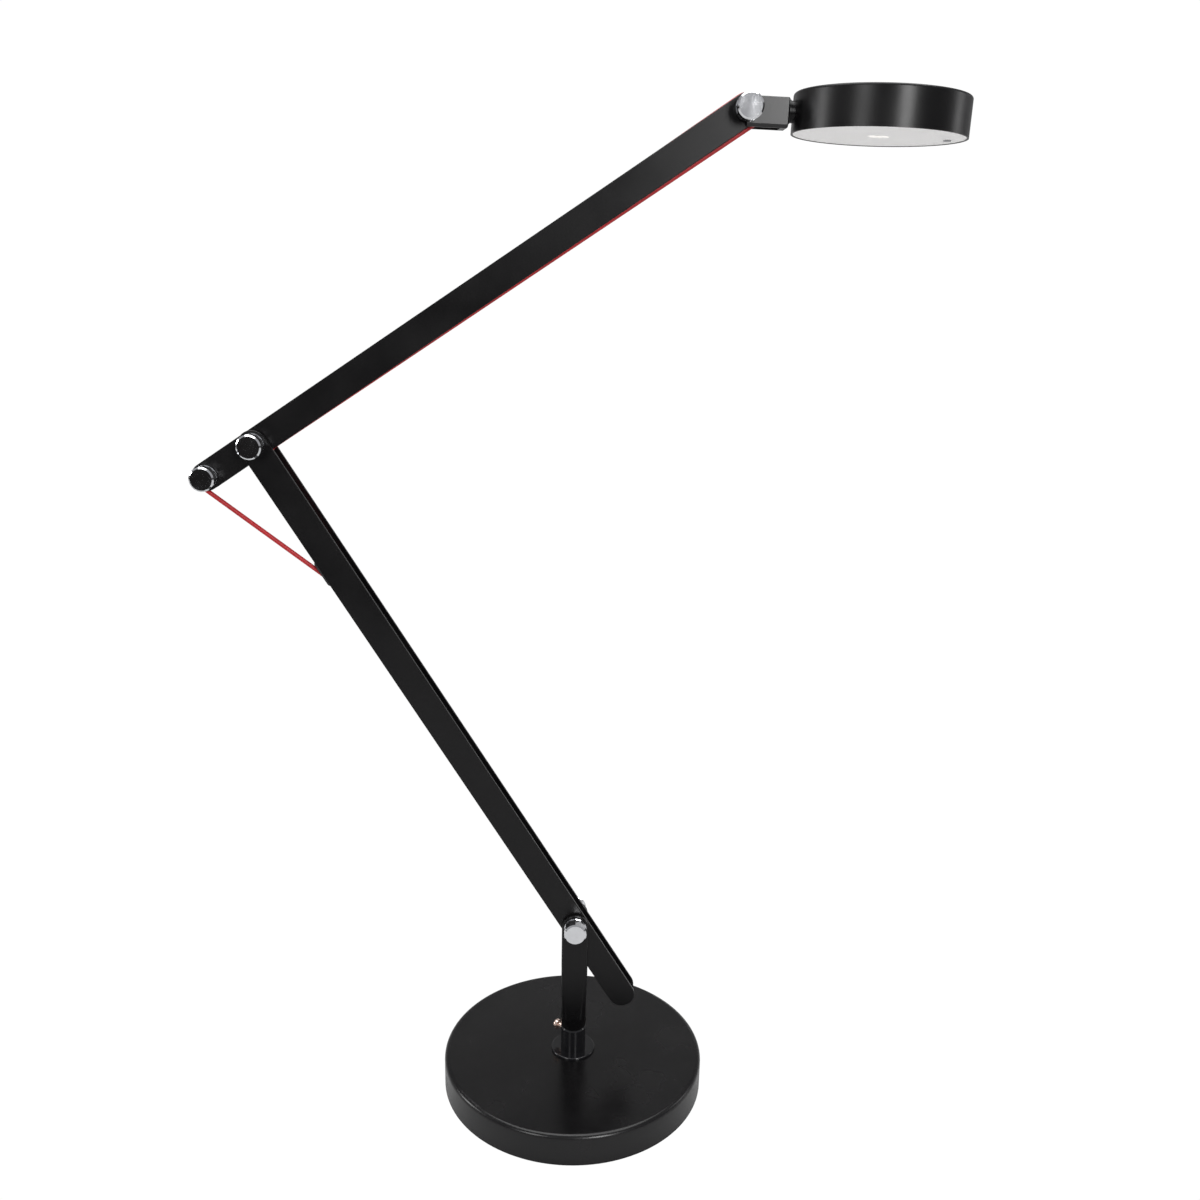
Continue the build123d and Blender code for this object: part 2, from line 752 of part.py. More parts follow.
# the front lead crosses the arm to the inside of the elbow
elbow_corner = meet(on_lower(0, -elbow_pass), lower_arm_angle, on_upper(0, -low_strand_offset), upper_arm_angle)
cross_end = on_lower(lower_arm_length - 55.0, -5.0)
elbow_lead_in = cross_end + (elbow_corner - cross_end) * 0.45
strand_end = on_upper(upper_arm_length, -low_strand_end)
strand_angle = heading(elbow_corner, strand_end)
elbow_lead_out = along(elbow_corner, strand_angle, 28.0)
front_lead_route = free(
    [
        on_lower(arm_lead_start, sleeve_pass, -lead_pitch),
        on_lower(lower_arm_length - 180.0, sleeve_pass, -lead_pitch),
        cross_end,
        elbow_lead_in,
    ]
)
leads("leads_lower_arm", rear_lead_route, front_lead_route)
leads("lead_span", ([span_mouth, span_foot], []))
leads("lead_elbow", ([elbow_lead_in, elbow_corner, elbow_lead_out], [elbow_lead_bend]))

# a moulded guide between the plates carries the lead out over the edge
with BuildPart() as lead_guide:
    guide_height = guide_inside + guide_proud
    guide_centre = lower_arm_width / 2 + guide_proud - guide_height / 2
    with BuildSketch(side_plane(base_pivot, lower_arm_angle, lower_inner - running)):
        with Locations((guide_place + guide_offset - gap, guide_centre)):
            RectangleRounded(guide_length, guide_height, guide_corner)
    extrude(amount=(lower_inner - running) * 2)
    with BuildSketch(Plane(origin=along(span_corner, span_angle, 10.0), z_dir=direction(span_angle + 180))):
        Circle(lead_radius + part_gap)
    extrude(amount=through, mode=Mode.SUBTRACT)
save(lead_guide, "lead_guide")

# the rear lead goes round the roller, a little off it where it arrives because it is stiff, and up
# inside the arm's upper edge to the head joint's drum
strand_start = on_upper(0, high_strand_offset)
strand_into = heading(tail, strand_start) - degrees(asin(roller_wrap / (strand_start - tail).length))
roller_turn = (strand_into + 90 - span_contact - 360) / 2
roller_corners = [
    along(tail, span_contact + roller_turn * 0.5, span_offset / cos(radians(roller_turn / 2))),
    along(tail, span_contact + roller_turn * 1.5, roller_wrap / cos(radians(roller_turn / 2))),
]
strand_rise = on_upper(upper_arm_length - 58.0, high_strand_end)
rise_reach = head_pivot - strand_rise
rise_angle = heading(strand_rise, head_pivot) + degrees(asin(drum_wrap / rise_reach.length))
joint_lead_start = upper_arm_length - 26.0
upper_lead_cut = along(strand_rise, rise_angle, joint_lead_start - (upper_arm_length - 58.0))
lower_lead_cut = along(elbow_corner, strand_angle, joint_lead_start)
upper_points = [span_foot, *roller_corners, strand_start, strand_rise, upper_lead_cut]
upper_radii = corner_radii(upper_points)
leads(
    "leads_upper_arm",
    (upper_points, upper_radii),
    ([elbow_lead_out, lower_lead_cut], []),
)

# at the head joint one lead goes over the drum and one passes under it, into the bracket's web
pin_mouth = bracket_slot_end - neck_pin_overhang
over_corner = on_neck(pin_mouth - 2 * lead_radius, lead_pitch)
over_reach = over_corner - head_pivot
leave_drum = heading(head_pivot, over_corner) + degrees(acos(drum_wrap / over_reach.length))
drum_corners, drum_radii = wrap(head_pivot, drum_wrap, rise_angle + 90, leave_drum)
under_corner = meet(elbow_corner, strand_angle, on_neck(0, -lead_pitch), head_tilt)
leads(
    "leads_head_joint",
    (
        [upper_lead_cut, *drum_corners, over_corner, on_neck(pin_mouth, lead_pitch)],
        [*drum_radii, lead_radius * 4],
    ),
    ([lower_lead_cut, under_corner, on_neck(pin_mouth, -lead_pitch)], [lead_radius * 6]),
)

# ---------------------------------------------------------------- head bracket
with BuildPart() as bracket:
    with BuildSketch(side_plane(head_pivot, head_tilt, bracket_outer)):
        with Locations((bracket_length / 2, -bracket_drop)):
            Rectangle(bracket_length, bracket_height)
    extrude(amount=bracket_outer * 2)
    foot = bracket.faces().sort_by(Axis(head_pivot, direction(head_tilt + 90)))[0]
    chamfer(foot.edges().filter_by(lambda edge: edge.length > bracket_length - 1), bracket_foot_chamfer)
    neck_end = bracket.faces().sort_by(Axis(head_pivot, direction(head_tilt)))[-1]
    chamfer(neck_end.edges(), bracket_edge_round)
    with BuildSketch(side_plane(head_pivot, head_tilt, bracket_outer)):
        Circle(bracket_front_eye)
    extrude(amount=bracket_outer)
    with BuildSketch(side_plane(head_pivot, head_tilt, -bracket_inner)):
        Circle(bracket_rear_eye)
    extrude(amount=-bracket_blade)
    with BuildSketch(Plane(origin=on_neck(0, 0), x_dir=direction(head_tilt), z_dir=direction(head_tilt + 90))):
        with Locations((bracket_slot_end / 2 - bracket_length / 2, 0)):
            Rectangle(bracket_slot_end + bracket_length, bracket_inner * 2)
    extrude(amount=through, both=True, mode=Mode.SUBTRACT)
    with BuildSketch(side_plane(head_pivot, 0, bracket_outer)):
        Circle(bolt_radius + running)
    extrude(amount=bracket_outer * 2, mode=Mode.SUBTRACT)
    with BuildSketch(neck_plane(bracket_slot_end)):
        Circle(neck_pin_radius + running)
    extrude(amount=bracket_length, mode=Mode.SUBTRACT)
save(bracket, "bracket")

# ---------------------------------------------------------------- neck
neck_start = bracket_length + gap
head_wall_place = head_offset - head_radius
with BuildPart() as neck:
    with BuildSketch(neck_plane(neck_start)):
        Circle(neck_radius)
    extrude(amount=neck_disc)
    chamfer(neck.edges().filter_by(GeomType.CIRCLE), 0.3)
    with BuildSketch(neck_plane(neck_start + neck_disc)):
        Circle(neck_boss_radius)
    extrude(amount=head_wall_place + 1 - neck_start - neck_disc)
    with BuildSketch(head_plane(-head_height)):
        Circle(head_radius)
    extrude(amount=head_height * 2, mode=Mode.SUBTRACT)
    with BuildSketch(neck_plane(head_wall_place - 1)):
        Circle(neck_stub_radius)
    extrude(amount=neck_stub_length + 1)
    with BuildSketch(neck_plane(pin_mouth)):
        Circle(neck_pin_radius)
    extrude(amount=neck_start - pin_mouth)
    with BuildSketch(neck_plane(bracket_slot_end - gap - neck_clip_thickness)):
        Circle(neck_pin_radius + 1)
        Circle(neck_groove_radius, mode=Mode.SUBTRACT)
    extrude(amount=neck_clip_thickness, mode=Mode.SUBTRACT)
    with BuildSketch(neck_plane(pin_mouth)):
        Circle(neck_bore_radius)
    extrude(amount=through, mode=Mode.SUBTRACT)
save(neck, "neck")

with BuildPart() as neck_clip:
    with BuildSketch(neck_plane(bracket_slot_end - gap - neck_clip_thickness + running)):
        Circle(neck_clip_radius)
        Circle(neck_groove_radius + running, mode=Mode.SUBTRACT)
    extrude(amount=neck_clip_thickness - 2 * running)
save(neck_clip, "neck_clip")

inner_wall = head_radius - head_wall
nut_seat = head_offset - (inner_wall**2 - neck_nut_radius**2) ** 0.5 + gap
with BuildPart() as neck_nut:
    with BuildSketch(neck_plane(nut_seat)):
        RegularPolygon(neck_nut_radius, 6)
        Circle(neck_stub_radius + running, mode=Mode.SUBTRACT)
    extrude(amount=neck_nut_height)
save(neck_nut, "neck_nut")

# ---------------------------------------------------------------- head
head_bottom = -head_height / 2
shell_ceiling = head_height / 2 - head_top_wall
board_top = board_height + board_thickness
with BuildPart() as head_shell:
    with BuildSketch(head_plane(head_bottom)):
        Circle(head_radius)
    extrude(amount=head_height)
    top_rim = head_shell.edges().filter_by(GeomType.CIRCLE).sort_by(Axis.Z)[-1]
    fillet(top_rim, head_edge_round)
    with BuildSketch(head_plane(head_bottom)):
        Circle(inner_wall)
    extrude(amount=head_height - head_top_wall, mode=Mode.SUBTRACT)
    with BuildSketch(head_plane(board_top + running)):
        with PolarLocations(board_screw_circle_radius, 3, start_angle=90):
            Circle(boss_radius)
    extrude(amount=shell_ceiling - board_top)
    with BuildSketch(head_plane(board_top + running)):
        with PolarLocations(board_screw_circle_radius, 3, start_angle=90):
            Circle(board_screw_radius + running)
    extrude(amount=board_screw_length, mode=Mode.SUBTRACT)
    with BuildSketch(neck_plane(head_wall_place - 1)):
        Circle(neck_stub_radius + running)
    extrude(amount=neck_stub_length, mode=Mode.SUBTRACT)
save(head_shell, "head_shell")

diffuser_bottom = head_bottom + diffuser_recess
diffuser_top = diffuser_bottom + diffuser_thickness
diffuser_radius = inner_wall - diffuser_fit
with BuildPart() as diffuser:
    with BuildSketch(head_plane(diffuser_bottom)):
        Circle(diffuser_radius)
    extrude(amount=diffuser_thickness + diffuser_lip_height)
    with BuildSketch(head_plane(diffuser_top)):
        Circle(diffuser_radius - diffuser_thickness)
    extrude(amount=diffuser_lip_height, mode=Mode.SUBTRACT)
    with BuildSketch(head_plane(diffuser_bottom)):
        Circle(lens_radius + running)
        with Locations((button_distance, 0)):
            Circle(button_radius + running)
    extrude(amount=diffuser_thickness, mode=Mode.SUBTRACT)
save(diffuser, "diffuser")

lens_bottom = diffuser_bottom + lens_recess
with BuildPart() as led_lens:
    with BuildSketch(head_plane(lens_bottom)):
        Circle(lens_radius)
    extrude(amount=board_height - lens_bottom)
    with BuildSketch(head_plane(board_height)):
        Circle(lens_pocket_radius)
    extrude(amount=-chip_thickness - part_gap, mode=Mode.SUBTRACT)
save(led_lens, "led_lens")

with BuildPart() as led_chips:
    with BuildSketch(head_plane(board_height - chip_thickness)):
        Rectangle(chip_size, chip_size)
        with PolarLocations(ring_radius, ring_chip_count, start_angle=180 / ring_chip_count):
            Rectangle(ring_chip_size, ring_chip_size)
    extrude(amount=chip_thickness)
save(led_chips, "led_chips")

with BuildPart() as led_board:
    with BuildSketch(head_plane(board_height)):
        Circle(board_radius)
        with PolarLocations(board_screw_circle_radius, 3, start_angle=90):
            Circle(board_screw_radius + gap, mode=Mode.SUBTRACT)
    extrude(amount=board_thickness)
save(led_board, "led_board")

with BuildPart() as board_screws:
    with BuildSketch(head_plane(board_height - board_screw_head_height)):
        with PolarLocations(board_screw_circle_radius, 3, start_angle=90):
            Circle(board_screw_head_radius)
    extrude(amount=board_screw_head_height)
    with BuildSketch(head_plane(board_height)):
        with PolarLocations(board_screw_circle_radius, 3, start_angle=90):
            Circle(board_screw_radius)
    extrude(amount=board_screw_length)
    with BuildSketch(head_plane(board_height - board_screw_head_height)):
        with PolarLocations(board_screw_circle_radius, 3, start_angle=90):
            Rectangle(board_screw_radius * 2.4, screw_slot_width)
            Rectangle(screw_slot_width, board_screw_radius * 2.4)
    extrude(amount=board_screw_head_height * 0.7, mode=Mode.SUBTRACT)
save(board_screws, "board_screws")

with BuildPart() as heat_sink:
    with BuildSketch(head_plane(board_top)):
        Circle(sink_radius)
    extrude(amount=sink_base)
    with BuildSketch(head_plane(board_top + sink_base)):
        with GridLocations(fin_pitch, fin_pitch, fin_count, 1):
            Rectangle(fin_thickness, sink_radius * 2)
        Circle(sink_radius, mode=Mode.INTERSECT)
    extrude(amount=fin_height)
save(heat_sink, "heat_sink")

terminal_lead_rise = head_terminal_height / 2
with BuildPart() as head_terminal:
    with BuildSketch(head_plane(board_top)):
        with Locations((-head_terminal_distance, 0)):
            RectangleRounded(head_terminal_length, head_terminal_width, 0.6)
    extrude(amount=head_terminal_height)
save(head_terminal, "head_terminal")

with BuildPart() as dimmer_switch:
    with BuildSketch(head_plane(board_height - switch_thickness)):
        with Locations((button_distance, 0)):
            RectangleRounded(switch_size, switch_size, 0.4)
    extrude(amount=switch_thickness)
save(dimmer_switch, "dimmer_switch")

with BuildPart() as dimmer_button:
    with BuildSketch(head_plane(head_bottom - button_proud + diffuser_recess)):
        with Locations((button_distance, 0)):
            Circle(button_radius)
    extrude(amount=button_proud + diffuser_thickness + gap)
    fillet(dimmer_button.edges().filter_by(GeomType.CIRCLE).sort_by(Axis.Z)[0], 0.5)
    with BuildSketch(head_plane(diffuser_top + gap)):
        with Locations((button_distance, 0)):
            Circle(button_flange_radius)
    extrude(amount=button_flange_thickness)
save(dimmer_button, "dimmer_button")

terminal_reach = head_offset - head_terminal_distance - head_terminal_length / 2
terminal_entry = board_top + terminal_lead_rise
leads(
    "leads_head",
    *[
        free(
            [
                on_neck(pin_mouth + gap, side * lead_pitch),
                on_neck(head_wall_place + neck_stub_length, side * lead_pitch),
                on_neck(terminal_reach - 4.5, terminal_entry, side * 3.2),
                on_neck(terminal_reach, terminal_entry, side * 3.2),
            ]
        )
        for side in (1, -1)
    ],
)
print("elbow", elbow, "tail", tail, "head pivot", head_pivot, "head centre", on_neck(head_offset, 0))
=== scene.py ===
import math

import bpy
from mathutils import Matrix, Vector


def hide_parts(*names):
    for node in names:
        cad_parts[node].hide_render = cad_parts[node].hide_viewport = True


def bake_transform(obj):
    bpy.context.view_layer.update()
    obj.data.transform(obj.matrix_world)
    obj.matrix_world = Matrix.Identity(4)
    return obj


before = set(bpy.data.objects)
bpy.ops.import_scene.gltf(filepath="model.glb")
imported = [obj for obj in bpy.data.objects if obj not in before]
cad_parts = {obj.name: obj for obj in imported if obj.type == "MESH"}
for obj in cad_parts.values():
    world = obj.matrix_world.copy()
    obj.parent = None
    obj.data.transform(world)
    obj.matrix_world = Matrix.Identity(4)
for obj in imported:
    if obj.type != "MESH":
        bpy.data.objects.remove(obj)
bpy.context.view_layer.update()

# ---------------------------------------------------------------- studio
# A pale floor that curves up into a backdrop, lit by one big soft light overhead and by a soft
# tall strip at each side of the camera. The room in front is dim, and the chrome caps mirror it.
FLOOR_WIDTH, FLOOR_FRONT, FLOOR_BACK = 7.0, -1.15, 2.6
BACKDROP_HEIGHT, BACKDROP_BEND, BACKDROP_STEPS = 4.5, 1.2, 24
CAMERA_PLACE = Vector((-0.0126, -0.7143, 0.5532))
CAMERA_YAW, CAMERA_PITCH, CAMERA_ROLL = 2.0, -15.7, 1.24
CAMERA_LENS = 35.17

camera_data = bpy.data.cameras.new("camera")
camera_data.sensor_width = 36.0
camera_data.lens = CAMERA_LENS
camera_data.clip_start = 0.01
camera = bpy.data.objects.new("camera", camera_data)
bpy.context.collection.objects.link(camera)
look = (
    Matrix.Rotation(math.radians(-CAMERA_YAW), 4, "Z")
    @ Matrix.Rotation(math.radians(90 + CAMERA_PITCH), 4, "X")
    @ Matrix.Rotation(math.radians(CAMERA_ROLL), 4, "Z")
)
camera.matrix_world = Matrix.Translation(CAMERA_PLACE) @ look
bpy.context.scene.camera = camera


def edit_back_edge(piece):
    """Enters edit mode with only the floor's back edge selected."""
    bpy.ops.object.mode_set(mode="EDIT")
    bpy.ops.mesh.select_mode(type="EDGE")
    bpy.ops.mesh.select_all(action="DESELECT")
    bpy.ops.object.mode_set(mode="OBJECT")
    for edge in piece.data.edges:
        ends = [piece.data.vertices[i].co for i in edge.vertices]
        edge.select = all(abs(end.y - FLOOR_BACK) < 1e-4 and abs(end.z) < 1e-4 for end in ends)
    bpy.ops.object.mode_set(mode="EDIT")


bpy.ops.object.select_all(action="DESELECT")
bpy.ops.mesh.primitive_plane_add(size=1)
backdrop = bpy.context.object
backdrop.name = "floor_and_backdrop"
backdrop.data.transform(
    Matrix.Translation((0, (FLOOR_FRONT + FLOOR_BACK) / 2, 0))
    @ Matrix.Diagonal((FLOOR_WIDTH, FLOOR_BACK - FLOOR_FRONT, 1, 1))
)
edit_back_edge(backdrop)
bpy.ops.mesh.extrude_region_move(TRANSFORM_OT_translate={"value": (0, 0, BACKDROP_HEIGHT)})
bpy.ops.object.mode_set(mode="OBJECT")
edit_back_edge(backdrop)
bpy.ops.mesh.bevel(offset=BACKDROP_BEND, segments=BACKDROP_STEPS)
bpy.ops.object.mode_set(mode="OBJECT")
bpy.ops.object.shade_smooth()


class Value:
    """What a node gives out, so that shader sums read as ordinary sums."""

    def __init__(self, nodes, socket):
        self.nodes, self.socket = nodes, socket

    def work(self, operation, first, second):
        return self.nodes.node("ShaderNodeMath", {"operation": operation}, {0: first, 1: second})

    def __add__(self, other):
        return self.work("ADD", self, other)

    def __radd__(self, other):
        return self.work("ADD", other, self)

    def __mul__(self, other):
        return self.work("MULTIPLY", self, other)

    def __rmul__(self, other):
        return self.work("MULTIPLY", other, self)


class Nodes:
    """A node tree whose nodes are added a call at a time."""

    def __init__(self, tree):
        self.tree = tree

    def feed(self, socket, value):
        if isinstance(value, Value):
            self.tree.links.new(value.socket, socket)
        elif isinstance(value, tuple) and len(value) == 3 and socket.type == "RGBA":
            socket.default_value = (*value, 1)
        else:
            socket.default_value = value

    def node(self, kind, settings=None, values=None, output=0):
        made = self.tree.nodes.new(kind)
        for name, value in (settings or {}).items():
            if name == "stops":
                for stop, (place, colour) in zip(made.color_ramp.elements, value):
                    stop.position, stop.color = place, (*colour, 1)
            else:
                setattr(made, name, value)
        for name, value in (values or {}).items():
            self.feed(made.inputs[name], value)
        return Value(self, made.outputs[output])


class Finish(Nodes):
    """One surface finish: a material, and the shader that its values go into."""

    def __init__(self, name, **values):
        self.material = bpy.data.materials.new(name)
        self.material.use_nodes = True
        super().__init__(self.material.node_tree)
        self.shader = self.tree.nodes["Principled BSDF"]
        self.set(**values)

    def set(self, **values):
        """Feeds the shader's own sockets, named with underscores for spaces."""
        for name, value in values.items():
            self.feed(self.shader.inputs[name.replace("_", " ")], value)

    def noise(self, scale, detail=2.0, stretch=(1, 1, 1)):
        """Soft random grain, from 0 to 1, with its scale in grains per metre."""
        place = self.node("ShaderNodeTexCoord", output="Object")
        stretched = self.node("ShaderNodeMapping", None, {"Vector": place, "Scale": stretch})
        return self.node(
            "ShaderNodeTexNoise", None, {"Vector": stretched, "Scale": scale, "Detail": detail}
        )

    def band(self, value, low, high, low_result, high_result):
        """Carries a value from one range to another, held at its ends."""
        return self.node(
            "ShaderNodeMapRange", None,
            {"Value": value, "From Min": low, "From Max": high, "To Min": low_result, "To Max": high_result},
        )

    def blend(self, share, first, second):
        """A colour part way between two colours."""
        return self.node(
            "ShaderNodeMix", {"data_type": "RGBA"}, {"Factor": share, 6: first, 7: second}, output=2
        )

    def bump(self, height, strength, depth):
        return self.node(
            "ShaderNodeBump", None, {"Height": height, "Strength": strength, "Distance": depth}
        )


# the camera sees the paper as a clean white, while the lamp is lit by a softer grey of it
PAPER_GREY, PAPER_GLOW, PAPER_WHITE = (0.42, 0.42, 0.42), 0.12, 1.02
paper = Finish("backdrop_paper", Base_Color=PAPER_GREY, Roughness=0.9, Specular_IOR_Level=0.1)
paper.set(Emission_Color=(1, 1, 1), Emission_Strength=PAPER_GLOW)
seen = paper.node("ShaderNodeEmission", None, {"Strength": PAPER_WHITE})
ray = paper.node("ShaderNodeLightPath", output="Is Camera Ray")
lit = Value(paper, paper.shader.outputs[0])
split = paper.node("ShaderNodeMixShader", None, {0: ray, 1: lit, 2: seen})
paper.feed(paper.tree.nodes["Material Output"].inputs["Surface"], split)
backdrop.data.materials.append(paper.material)


def soft_light(name, place, aim, size, power):
    """A soft rectangular light at a place, turned to face a point."""
    data = bpy.data.lights.new(name, "AREA")
    data.shape = "RECTANGLE"
    data.size, data.size_y = size
    data.energy = power
    light = bpy.data.objects.new(name, data)
    bpy.context.collection.objects.link(light)
    light.location = place
    light.rotation_mode = "QUATERNION"
    light.rotation_quaternion = (Vector(aim) - Vector(place)).to_track_quat("-Z", "Y")


soft_light("overhead", (0.0, 0.2, 2.3), (0.0, 0.1, 0.0), (2.4, 1.6), 42)
soft_light("left_strip", (-1.03, -1.60, 1.02), (0.1, 0.0, 0.6), (0.55, 0.95), 9)
soft_light("right_strip", (0.76, -1.90, 1.02), (0.1, 0.0, 0.6), (0.50, 0.95), 22)
soft_light("left_panel", (-2.2, 0.15, 0.85), (0.0, 0.0, 0.5), (0.5, 0.9), 12)
soft_light("right_panel", (2.3, 0.35, 0.85), (0.0, 0.0, 0.5), (0.5, 0.9), 4)

# the room is dark below the horizon and turns to an even grey a little above it
ROOM_STOPS = ((0.485, (0.012, 0.011, 0.011)), (0.56, (0.36, 0.36, 0.37)))
world = bpy.data.worlds.new("room")
bpy.context.scene.world = world
world.use_nodes = True
room = Nodes(world.node_tree)
direction = room.node("ShaderNodeTexCoord", output="Generated")
height = room.node("ShaderNodeSeparateXYZ", None, {0: direction}, output="Z")
shade = room.node("ShaderNodeValToRGB", {"stops": ROOM_STOPS}, {0: height * 0.5 + 0.5})
room.feed(room.tree.nodes["Background"].inputs["Color"], shade)
bpy.context.scene.view_settings.view_transform = "Standard"

# ---------------------------------------------------------------- painted steel
# The base cover, post, arm bars, bracket, neck and head shell have a fine satin powder coat.
# It levels out to a faint orange peel and keeps a little dust.
PAINT_BLACK = (0.0024, 0.0022, 0.0025)
PAINT_DUST = (0.0070, 0.0064, 0.0067)
PEEL_DEPTH = 0.00003


def powder_coat(name, roughness=0.3, peel=900.0, gloss=0.28):
    paint = Finish(name)
    cloud = paint.noise(26.0, 3.0)
    grain = paint.noise(peel, 2.0)
    specks = paint.band(paint.noise(2400.0, 1.0), 0.66, 0.74, 0.0, 1.0)
    dust = paint.band(cloud, 0.4, 0.7, 0.0, 0.35) + 0.3 * specks
    paint.set(
        Base_Color=paint.blend(dust, PAINT_BLACK, PAINT_DUST),
        Roughness=paint.band(cloud, 0.3, 0.7, roughness - 0.03, roughness + 0.05),
        Normal=paint.bump(grain, 0.35, PEEL_DEPTH),
        Specular_IOR_Level=gloss,
    )
    return paint.material


def finish_nodes(material, *names):
    """Gives CAD nodes a finish."""
    for name in names:
        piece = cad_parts[name]
        piece.data.materials.clear()
        piece.data.materials.append(material)


finish_nodes(
    powder_coat("satin_black"),
    "post", "lower_arm_front_plate", "lower_arm_rear_plate", "upper_arm_front_plate",
    "upper_arm_rear_plate", "head_shell", "neck",
)
finish_nodes(powder_coat("satin_black_base", 0.24, 700.0, 0.38), "base_cover")
finish_nodes(powder_coat("satin_black_bracket", gloss=0.55), "bracket")


# ---------------------------------------------------------------- bright metal
# The knobs are turned steel with polished chrome. Bolts, nuts, sleeves and clips are plain turned
# steel, the head's sink is cast aluminium and the little set screw has a rose-coloured plating.
def bright_metal(name, colour, roughness, smudge, streak=0.0, streak_depth=0.00001):
    metal = Finish(name, Metallic=1.0)
    touch = metal.noise(180.0, 3.0)
    tone = metal.blend(metal.band(touch, 0.35, 0.75, 0.0, 0.25), colour, tuple(0.75 * c for c in colour))
    metal.set(Base_Color=tone, Roughness=metal.band(touch, 0.35, 0.7, roughness, roughness + smudge))
    if streak:
        lines = metal.noise(streak, 2.0, (1, 0.04, 1))
        metal.set(Normal=metal.bump(lines, 0.3, streak_depth))
    return metal.material


finish_nodes(
    bright_metal("polished_chrome", (0.80, 0.81, 0.83), 0.07, 0.06),
    "base_knob", "base_bolt_cap", "elbow_knob", "elbow_bolt_cap", "tail_knob", "tail_bolt",
    "head_knob", "head_bolt_cap",
)
finish_nodes(
    bright_metal("turned_steel", (0.52, 0.52, 0.53), 0.3, 0.1, 2500.0),
    "base_screws", "base_bottom_plate", "socket_nut", "base_bolt", "elbow_bolt", "head_bolt",
    "base_sleeve", "elbow_sleeve", "lower_arm_spacers", "upper_arm_spacers", "neck_clip",
    "neck_nut", "board_screws",
)
finish_nodes(bright_metal("cast_aluminium", (0.70, 0.71, 0.72), 0.4, 0.15, 600.0, 0.0001), "heat_sink")
finish_nodes(bright_metal("rose_plating", (0.95, 0.74, 0.64), 0.16, 0.1), "set_screw")
finish_nodes(bright_metal("cast_iron", (0.16, 0.16, 0.165), 0.6, 0.2, 900.0, 0.0002), "base_weight")


# ---------------------------------------------------------------- mouldings
# Washers, roller, drum, lead guide and gland are moulded in black nylon. The collar and its flange
# are polished black, the pad is dense black foam and the terminals are white nylon.
def moulding(name, colour, shade, roughness, grain=1500.0, depth=0.00003, **values):
    plastic = Finish(name)
    cloud = plastic.noise(60.0, 3.0)
    plastic.set(
        Base_Color=plastic.blend(plastic.band(cloud, 0.35, 0.7, 0.0, 1.0), colour, shade),
        Roughness=plastic.band(cloud, 0.3, 0.7, roughness, roughness + 0.08),
        Normal=plastic.bump(plastic.noise(grain, 2.0), 0.3, depth),
        **values,
    )
    return plastic.material


finish_nodes(
    moulding("black_nylon", (0.012, 0.012, 0.013), (0.02, 0.02, 0.021), 0.42),
    "lead_gland", "lead_guide", "base_washers", "elbow_washers", "head_washers", "tail_roller",
    "head_drum",
)
finish_nodes(
    moulding("polished_black", (0.006, 0.006, 0.007), (0.010, 0.010, 0.011), 0.08, depth=0.00001),
    "base_flange", "socket_collar",
)
finish_nodes(moulding("foam_pad", (0.02, 0.02, 0.02), (0.03, 0.03, 0.03), 0.85, 900.0, 0.0003), "base_pad")
finish_nodes(
    moulding("white_nylon", (0.80, 0.80, 0.78), (0.74, 0.74, 0.72), 0.4),
    "terminal_block", "head_terminal", "dimmer_switch",
)

# ---------------------------------------------------------------- leads
# Two single leads of soft red silicone, 2.8 mm thick. They are held inside the arms, and one of
# them spans tight from the guide to the tail roller.
silicone = moulding(
    "red_silicone", (0.46, 0.009, 0.014), (0.36, 0.006, 0.010), 0.38, 2600.0, 0.00003,
)
finish_nodes(silicone, "leads_base", "leads_post", "leads_lower_arm", "leads_upper_arm", "leads_head")
LEAD_DIAMETER, LEAD_SIDE, LEAD_STEPS = 0.0028, 0.0016, 16


def lead_tube(name, *routes):
    """One or two leads, each a round tube on a smooth line that its route's points steer."""
    data = bpy.data.curves.new(name, "CURVE")
    data.dimensions = "3D"
    data.bevel_depth = LEAD_DIAMETER / 2
    data.bevel_resolution = 5
    for route in routes:
        spline = data.splines.new("NURBS")
        spline.points.add(len(route) - 1)
        for point, place in zip(spline.points, route):
            point.co = (*place, 1)
        spline.order_u = min(3, len(route))
        spline.use_endpoint_u = True
        spline.resolution_u = LEAD_STEPS
    line = bpy.data.objects.new(name + "_line", data)
    bpy.context.collection.objects.link(line)
    bpy.context.view_layer.update()
    mesh = bpy.data.meshes.new_from_object(line.evaluated_get(bpy.context.evaluated_depsgraph_get()))
    bpy.data.objects.remove(line)
    tube = bpy.data.objects.new(name, mesh)
    bpy.context.collection.objects.link(tube)
    for face in mesh.polygons:
        face.use_smooth = True
    mesh.materials.clear()
    mesh.materials.append(silicone)
    return tube


# at the base joint both leads curve from the post into the arm, beside the pivot sleeve
base_leads = lead_tube(
    "base_joint_leads",
    *[
        [(0, y, 0.0555), (0, y, 0.1000), (0, y, 0.1129), (-0.00674, y, 0.1239), (-0.02062, y, 0.14655)]
        for y in (LEAD_SIDE, -LEAD_SIDE)
    ],
)
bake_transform(base_leads)
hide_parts("leads_base_joint")

# one lead spans tight from the guide on the lower arm to the upper arm's tail
SPAN_MOUTH, SPAN_FOOT = (-0.16208, 0, 0.36733), (-0.2331, 0, 0.42162)
span = lead_tube("tight_span", [SPAN_MOUTH, SPAN_FOOT])
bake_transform(span)
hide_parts("lead_span")

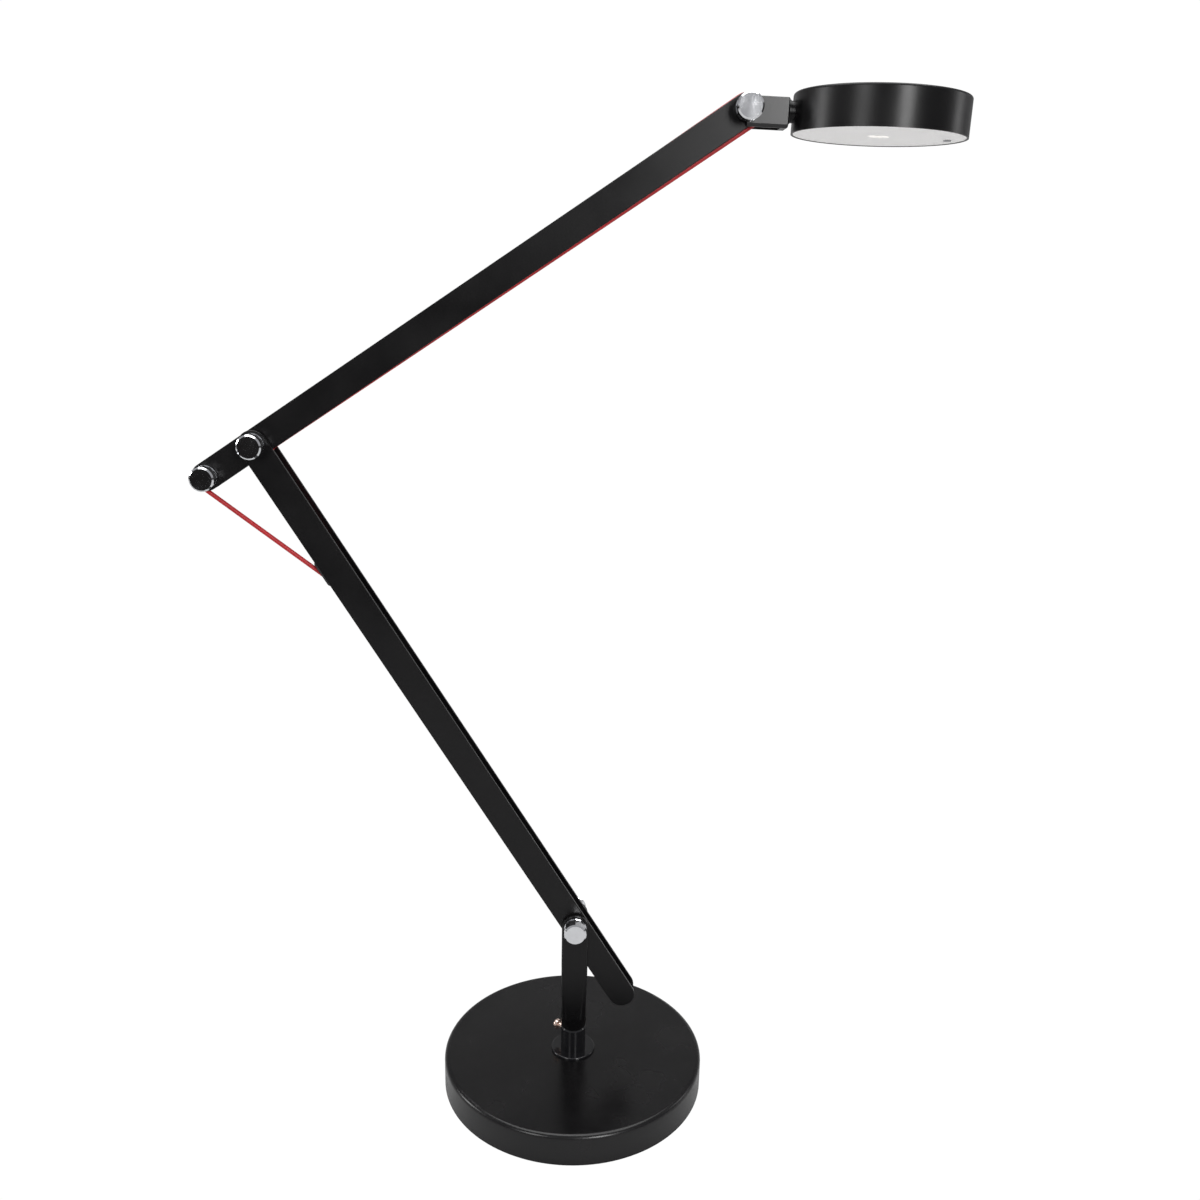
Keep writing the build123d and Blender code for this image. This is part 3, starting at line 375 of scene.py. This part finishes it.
# the other lead rounds the inside of the elbow
elbow_lead = lead_tube(
    "elbow_inside_lead",
    [
        (-0.17649, 0, 0.42227), (-0.18631, 0, 0.43891), (-0.18987, 0, 0.44494),
        (-0.18405, 0, 0.44883), (-0.16660, 0, 0.46051),
    ],
)
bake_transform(elbow_lead)
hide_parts("lead_elbow")

# at the head joint one lead passes over the drum and one under it, into the bracket
head_leads = lead_tube(
    "head_joint_leads",
    [
        (0.06383, 0, 0.63482), (0.08123, 0, 0.64680), (0.08700, 0, 0.65077),
        (0.09138, 0, 0.65101), (0.09777, 0, 0.64758), (0.10415, 0, 0.64415),
        (0.10694, 0, 0.64408),
    ],
    [
        (0.07774, 0, 0.62403), (0.09809, 0, 0.63765), (0.10307, 0, 0.64098),
        (0.10687, 0, 0.64088),
    ],
)
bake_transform(head_leads)
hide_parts("leads_head_joint")

# ---------------------------------------------------------------- light engine
# A white acrylic diffuser closes the head. A clear lens sits in its middle over the main LED, a
# ring of small LEDs sits round it, and a grey button near the rim dims them. The lamp is off: the
# diffuser's faint glow and the lens's brighter glow are painted light.
acrylic = Finish(
    "white_acrylic", Base_Color=(0.90, 0.89, 0.88), Roughness=0.35, Subsurface_Weight=0.3,
    Subsurface_Radius=(0.004, 0.004, 0.004),
)
# painted light: this faint emission stands in for the light the diffuser catches, as the lamp is off
acrylic.set(Emission_Color=(1.0, 0.985, 0.97), Emission_Strength=0.14)
acrylic.set(Roughness=acrylic.band(acrylic.noise(70.0, 3.0), 0.3, 0.7, 0.3, 0.4))
finish_nodes(acrylic.material, "diffuser")
lens = Finish("clear_lens", Base_Color=(0.95, 0.95, 0.93), Roughness=0.08)
# painted highlight: this emission stands in for the bright light the lens catches, as the lamp is off
lens.set(Emission_Color=(1.0, 0.98, 0.93), Emission_Strength=0.9)
lens.set(Roughness=lens.band(lens.noise(300.0), 0.3, 0.7, 0.05, 0.12))
finish_nodes(lens.material, "led_lens")
finish_nodes(moulding("solder_mask", (0.78, 0.79, 0.77), (0.70, 0.72, 0.69), 0.35), "led_board")
finish_nodes(moulding("led_phosphor", (0.85, 0.68, 0.16), (0.80, 0.60, 0.10), 0.4), "led_chips")
finish_nodes(moulding("grey_button", (0.42, 0.42, 0.43), (0.36, 0.36, 0.37), 0.45), "dimmer_button")
